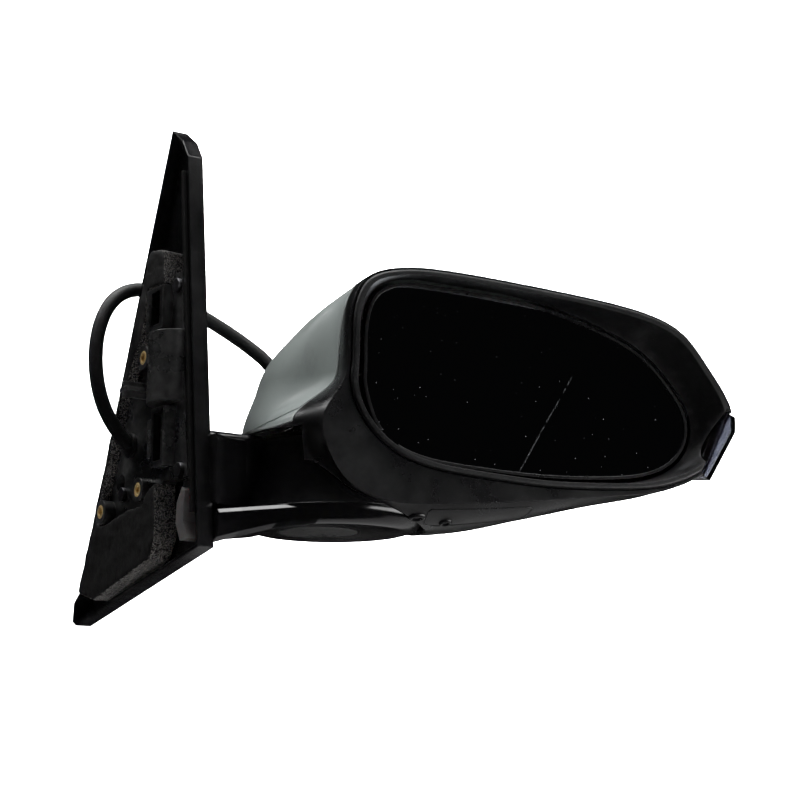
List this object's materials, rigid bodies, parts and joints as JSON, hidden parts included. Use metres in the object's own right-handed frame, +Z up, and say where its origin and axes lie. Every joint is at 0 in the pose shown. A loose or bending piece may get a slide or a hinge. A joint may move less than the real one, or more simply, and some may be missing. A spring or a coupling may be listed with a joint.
{
  "type": "car door mirror",
  "caption": "Right-hand car door mirror with a triangular door plate, a folding head and motor-driven glass.",
  "frame": {"origin": "centre of the upper threaded insert's mouth, on the face that meets the door", "axes": "+X outboard away from the door, +Y towards the front of the car, +Z up"},
  "size_m": [0.2985, 0.2386, 0.2505],
  "materials": {
    "gloss_black_plastic": "glossy, lightly scuffed",
    "grained_black_plastic": "fine spark-eroded grain",
    "satin_black_plastic": "satin",
    "primer_grey": "smooth primer, satin",
    "glass_filled_nylon": "moulded, satin",
    "brass": "turned, dull",
    "grey_foam": "open-cell foam",
    "black_rubber": "matt",
    "light_grey_nylon": "moulded, matt",
    "zinc_steel": "zinc plated",
    "spring_steel": "oiled",
    "die_cast": "die cast, dull",
    "white_acetal": "moulded",
    "mirror_glass": "silvered, dusty",
    "heater_film": "printed film",
    "clear_lens": "clear polycarbonate",
    "light_guide": "clear acrylic",
    "taped_sleeve": "sleeve and cloth tape"
  },
  "bodies": {
    "base": {"base_cover": "gloss_black_plastic", "arm_lower_cover": "gloss_black_plastic", "pivot_plug": "satin_black_plastic", "base_bracket": "glass_filled_nylon", "brass_inserts": "brass", "locating_pin": "glass_filled_nylon", "harness_grommet": "black_rubber", "foam_seal": "grey_foam", "door_gasket": "black_rubber", "corner_clip": "light_grey_nylon", "plate_screws": "spring_steel", "pivot_post": "die_cast", "lower_detent_ring": "die_cast", "pivot_bolts": "zinc_steel", "fold_spring": "spring_steel", "spring_retainer": "zinc_steel", "wiring_harness": "taped_sleeve", "harness_connector": "glass_filled_nylon"},
    "head": {"head_frame": "glass_filled_nylon", "upper_detent_ring": "die_cast", "thrust_washer": "white_acetal", "detent_balls": "zinc_steel", "actuator_case": "glass_filled_nylon", "actuator_cover": "glass_filled_nylon", "pitch_motor": "zinc_steel", "yaw_motor": "zinc_steel", "head_housing": "satin_black_plastic", "skull_cap": "primer_grey", "front_lower_cover": "satin_black_plastic", "indicator_lens": "clear_lens", "mirror_bezel": "grained_black_plastic", "lamp_tray": "satin_black_plastic", "light_guides": "light_guide", "actuator_screws": "zinc_steel"},
    "gimbal": {"gimbal_cross": "white_acetal"},
    "glass": {"mirror_glass": "mirror_glass", "heater_pad": "heater_film", "glass_carrier": "satin_black_plastic"},
    "pitch_rod": {"pitch_rod": "white_acetal"},
    "yaw_rod": {"yaw_rod": "white_acetal"},
    "pitch_nut": {"pitch_nut": "white_acetal"},
    "yaw_nut": {"yaw_nut": "white_acetal"}
  },
  "joints": [
    {"name": "head_fold", "type": "hinge", "parent": "base", "child": "head", "pos_m": [0.0857, -0.0448, 0], "axis": [0, 0, 1], "range_deg": [-40, 35]},
    {"name": "glass_pitch", "type": "hinge", "parent": "head", "child": "gimbal", "pos_m": [0.17098, -0.09544, -0.013], "axis": [0.9703, -0.2419, 0], "range_deg": [-6.5, 6.5]},
    {"name": "glass_yaw", "type": "hinge", "parent": "gimbal", "child": "glass", "pos_m": [0.17098, -0.09544, -0.013], "axis": [0, 0, 1], "range_deg": [-6.5, 6.5]},
    {"name": "pitch_rod_slide", "type": "slide", "parent": "head", "child": "pitch_rod", "axis": [0.2419, 0.9703, 0], "range_m": [-0.0033, 0.0033]},
    {"name": "yaw_rod_slide", "type": "slide", "parent": "head", "child": "yaw_rod", "axis": [0.2419, 0.9703, 0], "range_m": [-0.0033, 0.0033]},
    {"name": "pitch_nut_spin", "type": "hinge", "parent": "head", "child": "pitch_nut", "pos_m": [0.1757, -0.07651, -0.041], "axis": [0.2419, 0.9703, 0], "range_deg": [-150, 150]},
    {"name": "yaw_nut_spin", "type": "hinge", "parent": "head", "child": "yaw_nut", "pos_m": [0.20287, -0.08329, -0.013], "axis": [0.2419, 0.9703, 0], "range_deg": [-150, 150]}
  ],
  "couplings": [
    {"joint": "pitch_rod_slide", "follows": "glass_pitch", "m_per_rad": 0.028},
    {"joint": "yaw_rod_slide", "follows": "glass_yaw", "m_per_rad": 0.028},
    {"joint": "pitch_nut_spin", "follows": "glass_pitch", "ratio": 22},
    {"joint": "yaw_nut_spin", "follows": "glass_yaw", "ratio": 22}
  ]
}
